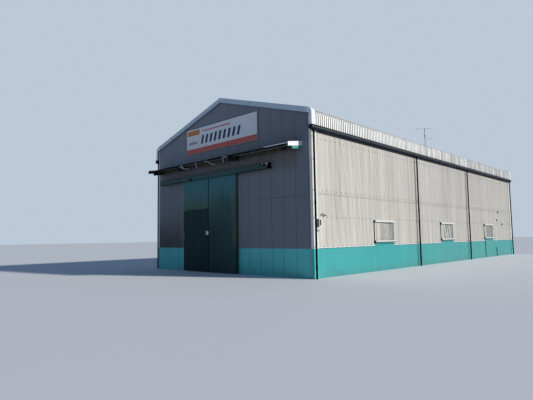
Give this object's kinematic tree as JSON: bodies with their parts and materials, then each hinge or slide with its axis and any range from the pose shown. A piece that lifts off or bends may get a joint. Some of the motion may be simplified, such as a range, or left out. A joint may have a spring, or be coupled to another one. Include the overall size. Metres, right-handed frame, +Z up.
{
  "type": "steel-framed warehouse",
  "caption": "Hollow gable-roofed steel warehouse with ribbed cladding, a teal dado, side windows, gutters and downpipes, and a pair of sliding front doors under a rail cover and canopy.",
  "frame": {"origin": "on the ground, at the middle of the wall footprint", "axes": "+Z up, +Y from the front gable to the back, +X to the right seen from the front"},
  "size_m": [10, 24.542, 9.7],
  "materials": {
    "concrete": "rough, trowelled",
    "end_panel": "matt grey coating",
    "side_siding": "matt warm grey coating",
    "dado": "satin teal coating",
    "frame_steel": "matt red oxide primer",
    "girt_steel": "galvanised",
    "roof_sheet": "chalky off-white coating",
    "trim": "satin off-white",
    "gutter": "weathered slate black",
    "downpipe": "dark brown-black",
    "window_frame": "white coated",
    "window_glass": "figured glass",
    "canopy_sheet": "weathered",
    "canopy_trim": "off-white",
    "door_green": "dark teal enamel",
    "rail_steel": "dull galvanised",
    "pull_steel": "worn",
    "sign_face": "satin white",
    "meter_case": "grey",
    "antenna_metal": "dull"
  },
  "bodies": {
    "building": {"floor_slab": "concrete", "front_wall_left": "end_panel", "front_wall_right": "end_panel", "front_wall_over_door": "end_panel", "front_gable": "end_panel", "back_wall": "end_panel", "side_wall_right": "side_siding", "side_wall_left": "side_siding", "dado_right": "dado", "dado_left": "dado", "dado_front": "dado", "dado_back": "dado", "portal_columns": "frame_steel", "portal_rafters": "frame_steel", "purlins": "girt_steel", "side_girts": "girt_steel", "end_girts": "girt_steel", "door_frame": "frame_steel", "roof_right": "roof_sheet", "roof_left": "roof_sheet", "ridge_cap": "roof_sheet", "verge_trims": "trim", "eave_end_caps": "trim", "corner_trims": "trim", "gutter_right": "gutter", "gutter_left": "gutter", "downpipes_right": "downpipe", "downpipes_left": "downpipe", "window_frames_right": "window_frame", "window_frames_left": "window_frame", "window_glass_right": "window_glass", "window_glass_left": "window_glass", "canopy_roof": "canopy_sheet", "canopy_trim": "canopy_trim", "canopy_brackets": "dado", "sign_board": "sign_face", "door_rail": "rail_steel", "door_rail_cover": "door_green", "meter_box": "meter_case", "antenna": "antenna_metal"},
    "door_left": {"door_leaf_left": "door_green", "door_handles_left": "pull_steel", "door_hangers_left": "rail_steel"},
    "door_right": {"door_leaf_right": "door_green", "door_handles_right": "pull_steel", "door_hangers_right": "rail_steel"}
  },
  "joints": [
    {"name": "door_left_slide", "type": "slide", "parent": "building", "child": "door_left", "axis": [-1, 0, 0], "range_m": [0, 1.78]},
    {"name": "door_right_slide", "type": "slide", "parent": "building", "child": "door_right", "axis": [1, 0, 0], "range_m": [0, 1.78]}
  ]
}
